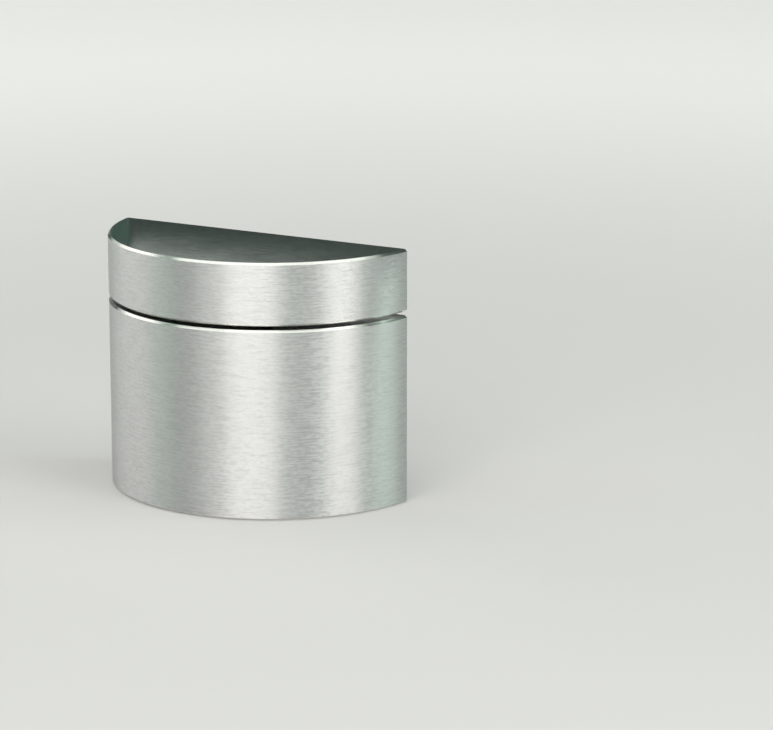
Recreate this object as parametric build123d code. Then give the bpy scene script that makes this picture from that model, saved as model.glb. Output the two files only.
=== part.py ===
"""Half-round glass door hinge, bonded to the glass, in millimetres.

A short frame knuckle is bonded to the front edge of the fixed top plate, and a tall
door knuckle to the front face of the inset door.  Both are slices of the same round
bar, cut flat where they meet the glass.  A shoulder screw comes up through the door
knuckle, turns in two plastic bushes and is screwed tight into the frame knuckle.

Frame: the origin is the centre of the frame knuckle's bonding face, +X runs along
that face to the right of someone facing the hinge, +Y points into the glass, and
+Z is up.  The pivot axis is upright.
"""

import os
from math import radians, sqrt, tan

from build123d import *

# ---- Knuckles ------------------------------------------------------------
bar_radius = 15.0              # the round bar that both knuckles are cut from
bond_plane_offset = 1.5        # bonding plane, in front of the bar's own centre
frame_knuckle_height = 5.65
door_knuckle_height = 17.2
parting_gap = 0.35             # air between the two knuckles
edge_break = 0.2               # 45 degree chamfer round both ends of a knuckle
corner_land = 0.1              # round left on an upright corner between its chamfers
roof_thickness = 1.3           # metal left above the blind thread

# ---- Pivot screw ---------------------------------------------------------
shoulder_diameter = 5.0
seat_ledge = 0.5               # ring of the shoulder that seats in the frame knuckle
spigot_depth = 0.8             # the shoulder enters the frame knuckle this far
tip_clearance = 0.3            # between the screw's tip and the end of its hole
tip_chamfer = 0.4
relief_width = 0.5             # undercut between shoulder and thread
relief_depth = 0.35
head_ledge = 1.75              # the head stands this far past the shoulder
head_height = 3.0
head_recess = 0.6              # the head lies this far inside the knuckle's foot
head_chamfer = 0.3
socket_across_flats = 3.0
socket_depth = 1.8
socket_point_angle = 120.0

# ---- Bushes and washer ---------------------------------------------------
bush_wall = 1.0
flange_width = 0.8             # the flange stands this far past the sleeve
flange_thickness = 0.8
grease_gap = 1.8               # between the two sleeves, inside the bore
lead_in = 0.3                  # chamfers that start a bush into its bore
washer_thickness = 0.5

# ---- Clearances ----------------------------------------------------------
running_clearance = 0.03       # shoulder in the bushes, on the radius
spigot_clearance = 0.02        # shoulder in the frame knuckle, on the radius
washer_clearance = 0.1         # shoulder in the washer, on the radius
flange_clearance = 0.1         # upper flange in its pocket, on the radius
head_clearance = 0.3           # head and lower flange in the counterbore, on the radius
axial_play = 0.05              # between the washer and the lower flange

# ---- Sizes that follow ---------------------------------------------------
half_chord = sqrt(bar_radius**2 - bond_plane_offset**2)
nose_y = bond_plane_offset - bar_radius
pivot_y = nose_y / 2           # the pivot lies half-way through the knuckle's depth

bush_diameter = shoulder_diameter + 2 * bush_wall
flange_diameter = bush_diameter + 2 * flange_width
head_diameter = shoulder_diameter + 2 * head_ledge
thread_diameter = shoulder_diameter - 2 * seat_ledge
pocket_diameter = flange_diameter + 2 * flange_clearance
counterbore_diameter = max(head_diameter, flange_diameter) + 2 * head_clearance

shoulder_radius = shoulder_diameter / 2
bush_radius = bush_diameter / 2
flange_radius = flange_diameter / 2
head_radius = head_diameter / 2
thread_radius = thread_diameter / 2
pocket_radius = pocket_diameter / 2
counterbore_radius = counterbore_diameter / 2

frame_top = frame_knuckle_height / 2
frame_foot = -frame_top
door_top = frame_foot - parting_gap
door_foot = door_top - door_knuckle_height

shoulder_seat = frame_foot + spigot_depth
thread_hole_end = frame_top - roof_thickness
screw_tip = thread_hole_end - tip_clearance

pocket_floor = frame_foot - flange_thickness
head_foot = door_foot + head_recess
head_top = head_foot + head_height
washer_top = head_top + washer_thickness
counterbore_floor = washer_top + axial_play + flange_thickness
sleeve_length = (pocket_floor - counterbore_floor - grease_gap) / 2


def turned(*outline):
    """Revolve a closed outline of (radius, height) points round the pivot axis."""
    with BuildPart() as piece:
        with BuildSketch(Plane.XZ):
            with BuildLine():
                Polyline(*outline, close=True)
            make_face()
        revolve(axis=Axis.Z)
    return Pos(0, pivot_y, 0) * piece.part


def knuckle_blank(foot, height):
    """A slice of round bar with its bonding face on the plane y = 0, edges broken."""
    with BuildPart() as blank:
        with BuildSketch(Plane.XY.offset(foot)):
            with BuildLine():
                ThreePointArc((-half_chord, 0), (0, nose_y), (half_chord, 0))
                Line((half_chord, 0), (-half_chord, 0))
            make_face()
            fillet(vertices(), edge_break + corner_land)
        extrude(amount=height)
        chamfer(faces().filter_by(Axis.Z).edges(), edge_break)
    return blank.part


def frame_knuckle():
    """The short upper slice, with a blind stepped hole in its underside."""
    spigot_radius = shoulder_radius + spigot_clearance
    blind_hole = turned(
        (0, frame_foot),
        (spigot_radius + edge_break, frame_foot),
        (spigot_radius, frame_foot + edge_break),
        (spigot_radius, shoulder_seat),
        (thread_radius, shoulder_seat),
        (thread_radius, thread_hole_end),
        (0, thread_hole_end),
    )
    return knuckle_blank(frame_foot, frame_knuckle_height) - blind_hole


def door_knuckle():
    """The tall lower slice, bored right through: counterbore, bush bore and pocket."""
    stepped_bore = turned(
        (0, door_foot),
        (counterbore_radius + edge_break, door_foot),
        (counterbore_radius, door_foot + edge_break),
        (counterbore_radius, counterbore_floor),
        (bush_radius + lead_in, counterbore_floor),
        (bush_radius, counterbore_floor + lead_in),
        (bush_radius, pocket_floor - lead_in),
        (bush_radius + lead_in, pocket_floor),
        (pocket_radius, pocket_floor),
        (pocket_radius, door_top),
        (0, door_top),
    )
    return knuckle_blank(door_foot, door_knuckle_height) - stepped_bore


def pivot_screw():
    """Shoulder screw, head down, with a hexagon socket; its thread is left plain."""
    relief_radius = thread_radius - relief_depth
    relief_end = shoulder_seat + relief_width
    blank = turned(
        (0, head_foot),
        (head_radius - head_chamfer, head_foot),
        (head_radius, head_foot + head_chamfer),
        (head_radius, head_top),
        (shoulder_radius, head_top),
        (shoulder_radius, shoulder_seat),
        (relief_radius, shoulder_seat),
        (relief_radius, relief_end),
        (thread_radius, relief_end),
        (thread_radius, screw_tip - tip_chamfer),
        (thread_radius - tip_chamfer, screw_tip),
        (0, screw_tip),
    )
    return blank - hexagon_socket()


def hexagon_socket():
    """The cutter for the key's socket, with the drill point that ends it."""
    drill_radius = socket_across_flats / 2
    socket_floor = head_foot + socket_depth
    point_height = drill_radius / tan(radians(socket_point_angle / 2))
    with BuildPart() as socket:
        with BuildSketch(Plane.XY.offset(head_foot)):
            RegularPolygon(drill_radius, 6, major_radius=False)
        extrude(amount=socket_depth)
    drill_point = turned(
        (0, socket_floor), (drill_radius, socket_floor), (0, socket_floor + point_height)
    )
    return Pos(0, pivot_y, 0) * socket.part + drill_point


def flanged_bush(seat, way):
    """A bush with its flange seated at the height seat; its sleeve runs up (1) or down (-1)."""
    bore_radius = shoulder_radius + running_clearance
    flange_face = seat - way * flange_thickness
    sleeve_end = seat + way * sleeve_length
    return turned(
        (bore_radius, flange_face),
        (flange_radius, flange_face),
        (flange_radius, seat),
        (bush_radius, seat),
        (bush_radius, sleeve_end - way * lead_in),
        (bush_radius - lead_in, sleeve_end),
        (bore_radius, sleeve_end),
    )


def head_washer():
    """The slip washer that lies on the screw's head."""
    bore_radius = shoulder_radius + washer_clearance
    return turned(
        (bore_radius, head_top),
        (head_radius, head_top),
        (head_radius, washer_top),
        (bore_radius, washer_top),
    )


pieces = {
    "frame_knuckle": frame_knuckle(),
    "door_knuckle": door_knuckle(),
    "pivot_screw": pivot_screw(),
    "upper_bush": flanged_bush(pocket_floor, -1),
    "lower_bush": flanged_bush(counterbore_floor, 1),
    "head_washer": head_washer(),
}

os.makedirs("parts", exist_ok=True)
for name, shape in pieces.items():
    export_step(shape, f"parts/{name}.step")
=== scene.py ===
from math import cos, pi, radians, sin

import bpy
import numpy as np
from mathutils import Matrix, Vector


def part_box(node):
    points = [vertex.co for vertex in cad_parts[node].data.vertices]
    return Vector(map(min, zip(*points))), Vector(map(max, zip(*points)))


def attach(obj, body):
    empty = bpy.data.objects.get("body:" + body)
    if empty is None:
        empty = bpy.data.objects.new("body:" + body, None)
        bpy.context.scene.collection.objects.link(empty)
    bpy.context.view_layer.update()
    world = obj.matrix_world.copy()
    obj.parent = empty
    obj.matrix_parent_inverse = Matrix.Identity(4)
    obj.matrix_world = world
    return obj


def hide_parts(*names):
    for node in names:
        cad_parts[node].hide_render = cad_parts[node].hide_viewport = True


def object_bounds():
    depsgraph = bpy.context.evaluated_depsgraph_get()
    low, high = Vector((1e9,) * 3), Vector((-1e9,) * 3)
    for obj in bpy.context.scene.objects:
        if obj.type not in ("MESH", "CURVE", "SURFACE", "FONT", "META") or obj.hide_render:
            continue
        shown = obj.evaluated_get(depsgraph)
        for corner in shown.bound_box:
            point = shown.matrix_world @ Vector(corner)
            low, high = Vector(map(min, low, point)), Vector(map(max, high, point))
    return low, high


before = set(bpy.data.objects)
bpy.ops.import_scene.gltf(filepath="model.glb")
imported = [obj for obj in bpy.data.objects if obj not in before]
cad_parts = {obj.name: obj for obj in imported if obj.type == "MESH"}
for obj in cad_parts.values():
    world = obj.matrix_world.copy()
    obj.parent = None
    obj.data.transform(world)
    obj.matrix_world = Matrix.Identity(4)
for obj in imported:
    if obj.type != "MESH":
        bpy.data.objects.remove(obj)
cad_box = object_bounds()

# Looks, studio and camera for the half-round glass door hinge.  Everything is in metres, in
# the frame of the CAD model: the origin is the centre of the frame knuckle's bonding face,
# +Y points into the glass and +Z is up.

MM = 0.001

# ---- Sizes of the hinge that the finishes follow ----------------------------
BAR_RADIUS = 15.0 * MM             # the round that the brush ran around
BAR_CENTRE_Y = 1.5 * MM            # the round's axis, behind the bonding plane
PIVOT = (0.0, -6.75 * MM, 0.0)     # a point on the pivot's axis
BORED_RADIUS = 4.65 * MM           # everything nearer to the pivot was turned or bored
ROOF_FOOT = 2.0 * MM               # above this height nothing is bored

UP = (0.0, 0.0, 1.0)
LEVEL = (1.0, 1.0, 0.0)            # times a vector, this leaves its level part


# ---- Small tools ------------------------------------------------------------
def linear(code):
    """An sRGB hex colour as linear RGBA."""
    value = np.array([int(code[i : i + 2], 16) for i in (1, 3, 5)]) / 255
    bent = np.where(value <= 0.04045, value / 12.92, ((value + 0.055) / 1.055) ** 2.4)
    return (*bent, 1.0)


def node(tree, kind, inputs=(), **settings):
    """Add one node: settings are its properties, inputs are values or sockets to link.

    Inputs are listed in the node's own order, or keyed by place or name.  In a Mix node,
    0 is the share, and it runs from 2 to 3 for numbers, 4 to 5 for vectors and 6 to 7 for
    colours, which come out at 0, 1 and 2.
    """
    made = tree.nodes.new("ShaderNode" + kind)
    for name, value in settings.items():
        setattr(made, name, value)
    keyed = inputs if isinstance(inputs, dict) else dict(enumerate(inputs))
    for socket, value in keyed.items():
        if isinstance(value, bpy.types.NodeSocket):
            tree.links.new(value, made.inputs[socket])
        else:
            made.inputs[socket].default_value = value
    return made.outputs


def start(name):
    """A new material and its empty node tree."""
    material = bpy.data.materials.new(name)
    material.use_nodes = True
    tree = material.node_tree
    tree.nodes.clear()
    return material, tree


def strokes(tree, along, across, length, width, detail=2.0):
    """Brush or tool strokes: noise drawn out to a length along, with a width across."""
    lengths = node(tree, "Math", [along, length], operation="DIVIDE")[0]
    widths = node(tree, "Math", [across, width], operation="DIVIDE")[0]
    return node(
        tree,
        "TexNoise",
        {
            "Vector": node(tree, "CombineXYZ", [lengths, widths])[0],
            "Scale": 1.0,
            "Detail": detail,
            "Roughness": 0.6,
        },
        noise_dimensions="2D",
    )[0]


def rings(tree, place):
    """Coordinates of turned work about the pivot: arc length round it, and distance across."""
    from_axis = node(tree, "VectorMath", [place, PIVOT], operation="SUBTRACT")[0]
    level_part = node(tree, "VectorMath", [from_axis, LEVEL], operation="MULTIPLY")[0]
    radius = node(tree, "VectorMath", [level_part], operation="LENGTH")[1]
    part = node(tree, "SeparateXYZ", [from_axis])
    turn = node(tree, "Math", [part["Y"], part["X"]], operation="ARCTAN2")[0]
    arc = node(tree, "Math", [turn, radius], operation="MULTIPLY")[0]
    across = node(tree, "Math", [part["Z"], radius], operation="ADD")[0]
    return from_axis, radius, arc, across


def tilt(tree, facing, lay, amount):
    """The surface's normal, tipped along the lay of the strokes, in world space."""
    push = node(tree, "VectorMath", {0: lay, "Scale": amount}, operation="SCALE")[0]
    tipped = node(tree, "VectorMath", [facing, push], operation="ADD")[0]
    return node(
        tree,
        "VectorTransform",
        [node(tree, "VectorMath", [tipped], operation="NORMALIZE")[0]],
        vector_type="NORMAL",
        convert_from="OBJECT",
        convert_to="WORLD",
    )[0]


def across_lines(tree, facing, lay):
    """The direction on the surface that lies across its lines, in world space."""
    over = node(tree, "VectorMath", [facing, lay], operation="CROSS_PRODUCT")[0]
    return node(
        tree,
        "VectorTransform",
        [over],
        vector_type="VECTOR",
        convert_from="OBJECT",
        convert_to="WORLD",
    )[0]


def put_in(name, points, faces, material):
    """A new object in the scene, whose mesh has these points and faces."""
    mesh = bpy.data.meshes.new(name)
    mesh.from_pydata(points.reshape(-1, 3).tolist(), [], faces)
    mesh.materials.append(material)
    placed = bpy.data.objects.new(name, mesh)
    bpy.context.scene.collection.objects.link(placed)
    return placed


# ---- Finishes ----------------------------------------------------------------
def satin_stainless():
    """Stainless steel half-round bar, 1.4301, brushed round its curve with a 240 grit belt.

    The eye sees short fine lines that run round the curve, reflections drawn out into
    upright bands, end faces with a finer straight lay, a flat back that was ground for the
    adhesive, turned rings inside the bore, and edge breaks that shine.
    """
    material, tree = start("satin_stainless_steel")
    surface = node(tree, "TexCoord")
    place, facing = surface["Object"], surface["Normal"]
    at = node(tree, "SeparateXYZ", [place])
    way = node(tree, "SeparateXYZ", [facing])
    from_axis, radius, ring_arc, ring_across = rings(tree, place)

    # which surface this is: an end face, an edge break, the flat back or inside the bore
    upright = node(tree, "Math", [way["Z"]], operation="ABSOLUTE")[0]
    is_end = node(tree, "Math", [upright, 0.95], operation="GREATER_THAN")[0]
    slopes = node(tree, "Math", [upright, 0.25], operation="GREATER_THAN")[0]
    is_break = node(tree, "Math", [slopes, is_end], operation="SUBTRACT")[0]
    is_back = node(tree, "Math", [way["Y"], 0.97], operation="GREATER_THAN")[0]
    is_flat = node(tree, "Math", [is_end, is_back], operation="MAXIMUM")[0]
    near_axis = node(tree, "Math", [radius, BORED_RADIUS], operation="LESS_THAN")[0]
    below_roof = node(tree, "Math", [at["Z"], ROOF_FOOT], operation="LESS_THAN")[0]
    is_bored = node(tree, "Math", [near_axis, below_roof], operation="MULTIPLY")[0]

    # along and across the lines: round the bar, straight on the flats, rings in the bore
    ahead = node(tree, "Math", [BAR_CENTRE_Y, at["Y"]], operation="SUBTRACT")[0]
    bar_turn = node(tree, "Math", [at["X"], ahead], operation="ARCTAN2")[0]
    bar_arc = node(tree, "Math", [bar_turn, BAR_RADIUS], operation="MULTIPLY")[0]
    along = node(tree, "Mix", {0: is_flat, 2: bar_arc, 3: at["X"]})[0]
    along = node(tree, "Mix", {0: is_bored, 2: along, 3: ring_arc})[0]
    across = node(tree, "Mix", {0: is_end, 2: at["Z"], 3: at["Y"]})[0]
    across = node(tree, "Mix", {0: is_bored, 2: across, 3: ring_across})[0]

    # the lines are drawn about three times as coarse as the belt's own, so that they show
    short = strokes(tree, along, across, 0.60 * MM, 0.17 * MM)
    long = strokes(tree, along, across, 2.6 * MM, 0.16 * MM)
    deep = strokes(tree, along, across, 2.0 * MM, 0.15 * MM, 1.0)
    scratch = node(tree, "MapRange", [deep, 0.60, 0.72, 0.0, 1.0])[0]
    mixed = node(tree, "Mix", {0: 0.45, 2: short, 3: long})[0]
    line = node(
        tree,
        "MapRange",
        [mixed, 0.38, 0.62, -1.0, 1.0],
        interpolation_type="SMOOTHSTEP",
    )[0]

    # the lay: the direction that the lines run in on each surface
    round_bar = node(tree, "VectorMath", [UP, facing], operation="CROSS_PRODUCT")[0]
    round_axis = node(tree, "VectorMath", [UP, from_axis], operation="CROSS_PRODUCT")[0]
    flat_lay = node(
        tree,
        "Mix",
        {0: is_bored, 4: (1.0, 0.0, 0.0), 5: round_axis},
        data_type="VECTOR",
    )[1]
    lay = node(tree, "Mix", {0: is_end, 4: round_bar, 5: flat_lay}, data_type="VECTOR")[1]
    lay = node(tree, "VectorMath", [lay], operation="NORMALIZE")[0]

    # how strong the lines are: full on the sides, faint on the ends and the edge breaks
    amount = node(tree, "Mix", {0: is_end, 2: 1.0, 3: 0.16})[0]
    amount = node(tree, "Mix", {0: is_break, 2: amount, 3: 0.1})[0]
    wave = node(tree, "Math", [line, amount], operation="MULTIPLY")[0]
    sway = node(tree, "Math", [wave, 0.01], operation="MULTIPLY")[0]
    relief = node(
        tree,
        "Bump",
        {
            "Strength": 0.5,
            "Distance": 0.004 * MM,
            "Height": mixed,
            "Normal": tilt(tree, facing, lay, sway),
        },
    )[0]

    # the belt leaves a roughness of 0.46; the ends and the edge breaks are much finer
    level = node(tree, "Mix", {0: is_end, 2: 0.46, 3: 0.18})[0]
    level = node(tree, "Mix", {0: is_break, 2: level, 3: 0.24})[0]
    level = node(tree, "Math", [wave, 0.15, level], operation="MULTIPLY_ADD")[0]
    cloud = node(
        tree,
        "TexNoise",
        {"Vector": place, "Scale": 1 / (6.25 * MM), "Detail": 2.0},
    )[0]
    haze = node(tree, "Math", [cloud, 0.5], operation="SUBTRACT")[0]
    level = node(tree, "Math", [haze, 0.06, level], operation="MULTIPLY_ADD")[0]

    worn = node(tree, "Math", [scratch, -0.45, 0.5], operation="MULTIPLY_ADD")[0]
    tone = node(tree, "Math", [wave, 0.38, worn], operation="MULTIPLY_ADD")[0]
    colour = node(
        tree,
        "Mix",
        {0: tone, 6: linear("#c2c2c2"), 7: linear("#dedede")},
        data_type="RGBA",
    )[2]
    colour = node(
        tree, "Mix", {0: is_break, 6: colour, 7: linear("#e6e5e2")}, data_type="RGBA"
    )[2]
    steel = node(
        tree,
        "BsdfPrincipled",
        {
            "Base Color": colour,
            "Metallic": 1.0,
            "Roughness": level,
            "Anisotropic": 0.89,
            "Normal": relief,
            "Tangent": across_lines(tree, facing, lay),
        },
    )[0]
    node(tree, "OutputMaterial", {"Surface": steel})
    return material


def turned_stainless():
    """Stainless steel, 1.4305, turned on a lathe with a feed of 0.06 mm.

    The eye sees a brighter, smoother steel than the brushed bar, with rings across the
    head that throw two opposite fans of light.
    """
    material, tree = start("turned_stainless_steel")
    surface = node(tree, "TexCoord")
    place, facing = surface["Object"], surface["Normal"]
    from_axis, _, ring_arc, ring_across = rings(tree, place)
    feed = strokes(tree, ring_arc, ring_across, 12.0 * MM, 0.06 * MM)
    round_axis = node(tree, "VectorMath", [UP, from_axis], operation="CROSS_PRODUCT")[0]
    lay = node(tree, "VectorMath", [round_axis], operation="NORMALIZE")[0]
    relief = node(
        tree, "Bump", {"Strength": 0.4, "Distance": 0.004 * MM, "Height": feed}
    )[0]
    level = node(tree, "Mix", {0: feed, 2: 0.24, 3: 0.36})[0]
    colour = node(
        tree,
        "Mix",
        {0: feed, 6: linear("#c9cac9"), 7: linear("#dcdddc")},
        data_type="RGBA",
    )[2]
    steel = node(
        tree,
        "BsdfPrincipled",
        {
            "Base Color": colour,
            "Metallic": 1.0,
            "Roughness": level,
            "Anisotropic": 0.7,
            "Normal": relief,
            "Tangent": across_lines(tree, facing, lay),
        },
    )[0]
    node(tree, "OutputMaterial", {"Surface": steel})
    return material


def black_acetal():
    """Black acetal, moulded in a spark-eroded cavity with a grain of 0.12 mm.

    The eye sees a deep, slightly waxy black with a faint even grain and a soft shine.
    """
    material, tree = start("black_acetal")
    place = node(tree, "TexCoord")["Object"]
    grain = node(
        tree,
        "TexNoise",
        {"Vector": place, "Scale": 1 / (0.12 * MM), "Detail": 2.0, "Roughness": 0.6},
    )[0]
    relief = node(
        tree, "Bump", {"Strength": 0.5, "Distance": 0.006 * MM, "Height": grain}
    )[0]
    level = node(tree, "Mix", {0: grain, 2: 0.38, 3: 0.54})[0]
    colour = node(
        tree,
        "Mix",
        {0: grain, 6: linear("#18191a"), 7: linear("#252627")},
        data_type="RGBA",
    )[2]
    plastic = node(
        tree,
        "BsdfPrincipled",
        {
            "Base Color": colour,
            "Roughness": level,
            "IOR": 1.48,
            "Normal": relief,
        },
    )[0]
    node(tree, "OutputMaterial", {"Surface": plastic})
    return material


SATIN, TURNED, ACETAL = satin_stainless(), turned_stainless(), black_acetal()
FINISHES = {
    "frame_knuckle": SATIN,
    "door_knuckle": SATIN,
    "pivot_screw": TURNED,
    "head_washer": TURNED,
    "upper_bush": ACETAL,
    "lower_bush": ACETAL,
}
for name, material in FINISHES.items():
    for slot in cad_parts[name].material_slots:
        slot.material = material


# ---- Pivot screw, with its thread ---------------------------------------------
def threaded_screw():
    """Shoulder screw, head down: a closed surface turned about the pivot in 96 columns.

    Row k is the circle of radius r(k) at height z(k), with two forms that are not round.
    The key's socket is a hexagon, r = 1.5 / cos(a), with a the angle from the middle of the
    nearest flat; a drill point ends it, and a 120 degree cone starts it.  The thread, M4 x
    0.7, is a right-hand helix: with u the distance along the axis from the middle of the
    nearest crest, r = 2 - (u - 0.044) / tan 30, held between 1.65 and 2.  At its ends it is
    no wider than two 45 degree cones.
    """
    columns, pitch = 96, 0.7
    head, shoulder, crest, relief, tip_face = 4.25, 2.5, 2.0, 1.65, 1.6
    foot, tip = (corner.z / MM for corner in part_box("pivot_screw"))
    turn = np.linspace(0, 2 * pi, columns, endpoint=False)
    level = np.ones(columns)

    hexagon = 1.5 / np.cos(turn % (pi / 3) - pi / 6)
    drill, mouth, socket_floor = 1.47, 1.80, foot + 1.8
    point = socket_floor + drill * np.tan(pi / 6)
    socket = [
        (drill * level, socket_floor * level),
        (hexagon, socket_floor * level),
        (hexagon, foot + (mouth - hexagon) * np.tan(pi / 6)),
    ]

    seat, thread_foot = tip - 3.25, tip - 2.75
    outline = [
        (mouth, foot),
        (head - 0.3, foot),
        (head, foot + 0.3),
        (head, foot + 2.9),
        (head - 0.1, foot + 3.0),
        (shoulder, foot + 3.0),
        (shoulder, seat - 0.1),
        (shoulder - 0.1, seat),
        (relief, seat),
    ]

    climb = np.linspace(thread_foot, tip, 95)[:, None]
    along = (climb / pitch - turn / (2 * pi)) % 1.0
    from_crest = np.abs(along - 0.5) * pitch
    flank = crest - (from_crest - pitch / 16) / np.tan(pi / 6)
    thread = np.clip(flank, relief, crest)
    thread = np.minimum(thread, relief + climb - thread_foot)
    thread = np.minimum(thread, tip_face + tip - climb)

    round_rows = np.array(outline)
    radius = np.vstack([[r for r, _ in socket], round_rows[:, :1] * level, thread])
    height = np.vstack([[z for _, z in socket], round_rows[:, 1:] * level, climb * level])
    points = np.stack([radius * np.cos(turn), radius * np.sin(turn), height], axis=-1)
    ends = [(0.0, 0.0, point), (0.0, 0.0, tip)]
    points = np.vstack([points.reshape(-1, 3), ends]) * MM + PIVOT

    corner = np.arange(radius.size).reshape(radius.shape)
    beside = np.roll(corner, -1, axis=1)
    sides = np.stack([corner[:-1], beside[:-1], beside[1:], corner[1:]], axis=-1)
    drilled = np.stack([np.full(columns, radius.size), beside[0], corner[0]], axis=-1)
    capped = np.stack([corner[-1], beside[-1], np.full(columns, radius.size + 1)], axis=-1)
    faces = drilled.tolist() + sides.reshape(-1, 4).tolist() + capped.tolist()

    screw = put_in("threaded_pivot_screw", points, faces, TURNED)
    screw.data.polygons.foreach_set("use_smooth", [True] * len(faces))
    screw.data.set_sharp_from_angle(angle=radians(28))
    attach(screw, "frame")
    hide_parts("pivot_screw")


threaded_screw()

# ---- Studio ------------------------------------------------------------------
low, high = (Vector(corner) for corner in cad_box)
centre = (low + high) / 2


def toward(azimuth, elevation):
    """The direction of a compass angle from the front (-Y), towards +X, and a height angle."""
    a, e = radians(azimuth), radians(elevation)
    return Vector((sin(a) * cos(e), -cos(a) * cos(e), sin(e)))


def pale_paper():
    """Studio paper, uncoated: it spreads light evenly, and a painted glow on it grows with
    distance.

    What the camera and the steel see of it is lifted by that painted glow, a little, more from
    5 to 28 cm away, and not where it turns up into the wall; the steel sees the glow green, a
    painted green tint in its reflections.
    """
    material, tree = start("pale_paper")
    place = node(tree, "TexCoord")["Object"]
    flat = node(tree, "VectorMath", [place, LEVEL], operation="MULTIPLY")[0]
    away = node(tree, "VectorMath", [flat], operation="LENGTH")[1]
    # painted glow: none near the hinge, more further out
    lift = node(
        tree,
        "MapRange",
        [away, 0.05, 0.28, 0.0, 0.30],
        interpolation_type="SMOOTHSTEP",
    )[0]
    fade = node(
        tree,
        "MapRange",
        [away, 0.60, 1.10, 1.0, 0.0],
        interpolation_type="SMOOTHSTEP",
    )[0]
    path = node(tree, "LightPath")
    by_camera, by_steel = path["Is Camera Ray"], path["Is Glossy Ray"]
    seen = node(tree, "Math", [by_camera, by_steel], operation="MAXIMUM")[0]
    seen = node(tree, "Math", [seen, path["Is Transmission Ray"]], operation="MAXIMUM")[0]
    glow = node(tree, "Math", [lift, fade], operation="MULTIPLY")[0]
    shown = node(tree, "Math", [seen, glow], operation="MULTIPLY")[0]
    # painted reflection: the glow is pale to the camera and green to the steel
    tint = node(
        tree,
        "Mix",
        {0: by_camera, 6: linear("#cdf4e0"), 7: linear("#fafbf8")},
        data_type="RGBA",
    )[2]
    sheet = node(
        tree,
        "BsdfPrincipled",
        {
            "Base Color": linear("#c9c6c7"),
            "Roughness": 0.9,
            "Specular IOR Level": 0.1,
            "Emission Color": tint,
            "Emission Strength": shown,
        },
    )[0]
    node(tree, "OutputMaterial", {"Surface": sheet})
    return material


def paper_sweep():
    """The floor and wall: a flat disc that curves up, its profile turned once round Z.

    Row k of the grid is the circle of radius r(k) at height h(k): the disc, then a quarter
    round r = R + B sin t, h = B (1 - cos t), then the wall.
    """
    flat_radius, bend_radius, wall_height = 1.2, 0.8, 1.6
    bend = np.linspace(0, pi / 2, 17)
    radius = np.r_[0.3, flat_radius + bend_radius * np.sin(bend), flat_radius + bend_radius]
    height = np.r_[0.0, bend_radius * (1 - np.cos(bend)), wall_height]
    turn = np.linspace(0, 2 * pi, 96, endpoint=False)
    points = np.empty((len(radius), len(turn), 3))
    points[..., 0] = centre.x + np.outer(radius, np.cos(turn))
    points[..., 1] = centre.y + np.outer(radius, np.sin(turn))
    points[..., 2] = low.z + height[:, None]
    corner = np.arange(points.shape[0] * points.shape[1]).reshape(points.shape[:2])
    beside = np.roll(corner, -1, axis=1)
    sides = np.stack([corner[:-1], corner[1:], beside[1:], beside[:-1]], axis=-1)
    faces = [corner[0].tolist()] + sides.reshape(-1, 4).tolist()
    sweep = put_in("paper_sweep", points, faces, pale_paper())
    sweep.data.polygons.foreach_set("use_smooth", [True] * len(faces))


def softbox(name, azimuth, elevation, distance, width, height, brightness, tint="#fffdfa"):
    """A soft rectangular lamp that faces the hinge, as bright as its surface is to look at."""
    lamp = bpy.data.lights.new(name, "AREA")
    lamp.shape = "RECTANGLE"
    lamp.size, lamp.size_y = width, height
    lamp.energy = brightness * pi * width * height
    lamp.color = linear(tint)[:3]
    placed = bpy.data.objects.new(name, lamp)
    way = toward(azimuth, elevation)
    placed.location = centre + way * distance
    placed.rotation_euler = way.to_track_quat("Z", "Y").to_euler()
    placed.visible_camera = False
    bpy.context.scene.collection.objects.link(placed)


def graded_card():
    """Card, dark green at its foot and pale from about 7 mm up, in place of the glass.

    The pale part reaches lower on the left, by 0.08 mm in each millimetre.  The eye sees it
    only in the end face, which is dark at its back and right and paler at its front left.
    """
    material, tree = start("graded_card")
    place = node(tree, "TexCoord")["Object"]
    part = node(tree, "SeparateXYZ", [place])
    height = node(tree, "Math", [part["X"], -0.08, part["Z"]], operation="MULTIPLY_ADD")[0]
    dark_top, pale_foot = high.z + 3.9 * MM, high.z + 6.9 * MM
    grade = node(tree, "MapRange", [height, dark_top, pale_foot, 0.0, 0.8])[0]
    fibre = node(tree, "TexNoise", {"Vector": place, "Scale": 0.9 / MM, "Detail": 2.0})[0]
    share = node(tree, "Math", [fibre, 0.05, grade], operation="MULTIPLY_ADD")[0]
    colour = node(
        tree,
        "Mix",
        {0: share, 6: linear("#0f271f"), 7: linear("#d5dcd8")},
        data_type="RGBA",
    )[2]
    card = node(tree, "BsdfPrincipled", {"Base Color": colour, "Roughness": 0.9})[0]
    node(tree, "OutputMaterial", {"Surface": card})
    return material


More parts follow.
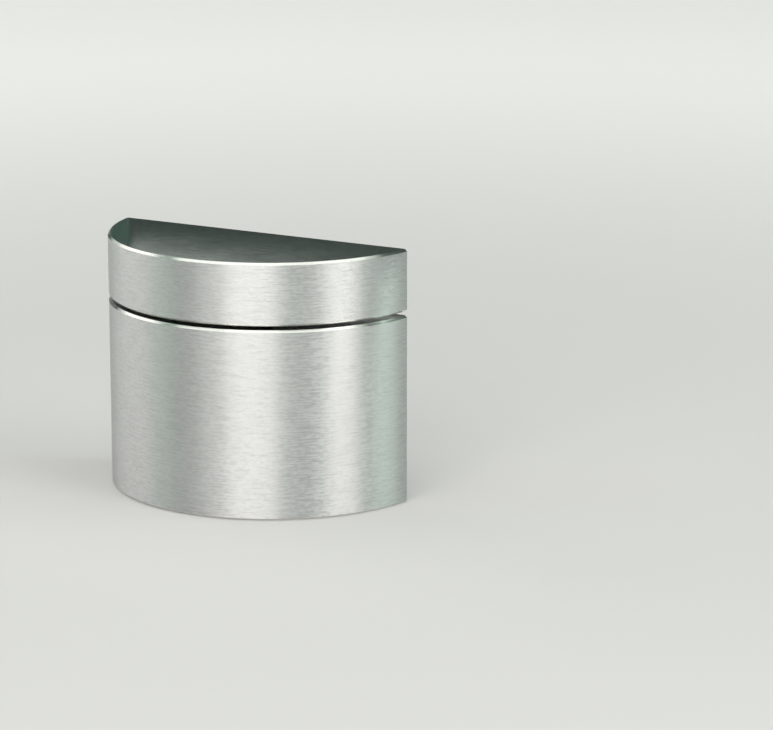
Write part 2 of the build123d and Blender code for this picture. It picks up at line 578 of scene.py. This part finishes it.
def tracing_paper():
    """Tracing paper, which glows evenly with the light that falls on both its sides.

    It is coloured dark green at its two ends, which paints a dark green reflection into the
    end face there, and pales towards the front over 5 mm.
    """
    material, tree = start("tracing_paper")
    place = node(tree, "TexCoord")["Object"]
    depth = node(tree, "SeparateXYZ", [place])["Y"]
    # painted reflection: the share of pale paper, none at the dark green ends
    pale_front = node(
        tree,
        "MapRange",
        [depth, -13.2 * MM, -8.2 * MM, 0.92, 0.0],
        interpolation_type="SMOOTHSTEP",
    )[0]
    fibre = node(tree, "TexNoise", {"Vector": place, "Scale": 0.9 / MM, "Detail": 2.0})[0]
    share = node(tree, "Math", [fibre, 0.08, pale_front], operation="MULTIPLY_ADD")[0]
    colour = node(
        tree,
        "Mix",
        {0: share, 6: linear("#33524a"), 7: linear("#f0f3f0")},
        data_type="RGBA",
    )[2]
    mirrored = node(tree, "BsdfDiffuse", {"Color": colour})[0]
    through = node(tree, "BsdfTranslucent", {"Color": colour})[0]
    paper = node(tree, "MixShader", [0.5, mirrored, through])[0]
    node(tree, "OutputMaterial", {"Surface": paper})
    return material


def strip(name, path, rise, material):
    """A low upright strip that only the steel mirrors, on the level of the end face.

    Column k stands on the path's point k, given in mm, and is rise mm tall.
    """
    points = np.zeros((len(path), 2, 3))
    points[..., :2] = np.array(path)[:, None] * MM
    points[..., 2] = high.z + np.array([0.0, rise]) * MM
    faces = 2 * np.arange(len(path) - 1)[:, None] + np.array([0, 2, 3, 1])
    upright = put_in(name, points, faces.tolist(), material)
    upright.visible_camera = False
    upright.visible_diffuse = False
    upright.visible_shadow = False


def end_face_cards():
    """What the end face mirrors: a dark card behind it, and paper round its curved edge.

    The paper keeps the lamps' own images off the end face, seen from the sides and back.
    """
    strip("card_behind", [(-70.0, 1.0), (45.0, 1.0)], 12.0, graded_card())
    inside_edge = 14.75            # millimetres from the bar's axis
    angle = np.radians(np.linspace(-84, 84, 57))
    x = inside_edge * np.sin(angle)
    y = BAR_CENTRE_Y / MM - inside_edge * np.cos(angle)
    strip("paper_collar", np.column_stack([x, y]), 7.0, tracing_paper())


def surroundings(strength):
    """Even dim light from all round, faintly green, as it is between glass plates."""
    world = bpy.data.worlds.new("studio")
    bpy.context.scene.world = world
    world.use_nodes = True
    tree = world.node_tree
    tree.nodes.clear()
    glow = node(tree, "Background", {"Color": linear("#c8f0da"), "Strength": strength})[0]
    node(tree, "OutputWorld", {"Surface": glow})


paper_sweep()
end_face_cards()
surroundings(0.22)

# name, azimuth and elevation in degrees, distance, width, height, brightness and tint
softbox("front_box", 16.5, 24, 0.6, 0.38, 0.50, 3.25)
softbox("front_left_box", -11, 24, 0.6, 0.27, 0.50, 1.1)
softbox("left_fill_box", -54, 24, 0.6, 0.20, 0.50, 0.66, "#c4f4da")
softbox("right_fill_box", 52, 24, 0.6, 0.34, 0.50, 0.34, "#d8f6e6")
softbox("side_box", 79.5, 24, 0.6, 0.25, 0.50, 3.7)
softbox("left_box", -87, 22, 0.6, 0.52, 0.48, 1.35)
softbox("rear_right_box", 115, 24, 0.6, 0.20, 0.50, 2.3, "#dcf9ea")
softbox("top_box", 0, 89.9, 0.8, 1.20, 1.20, 1.25)

# ---- Camera ------------------------------------------------------------------
EYE = Vector((157.77, -256.59, 63.065)) * MM
camera_data = bpy.data.cameras.new("camera")
camera_data.lens = 157.86          # millimetres, with a sensor 36 mm wide
camera_data.sensor_width = 36.0
camera_data.clip_start = 0.01
camera = bpy.data.objects.new("camera", camera_data)
camera.location = EYE
camera.rotation_euler = toward(29.487, 13.557).to_track_quat("Z", "Y").to_euler()
bpy.context.scene.collection.objects.link(camera)
bpy.context.scene.camera = camera
bpy.context.scene.view_settings.view_transform = "Standard"
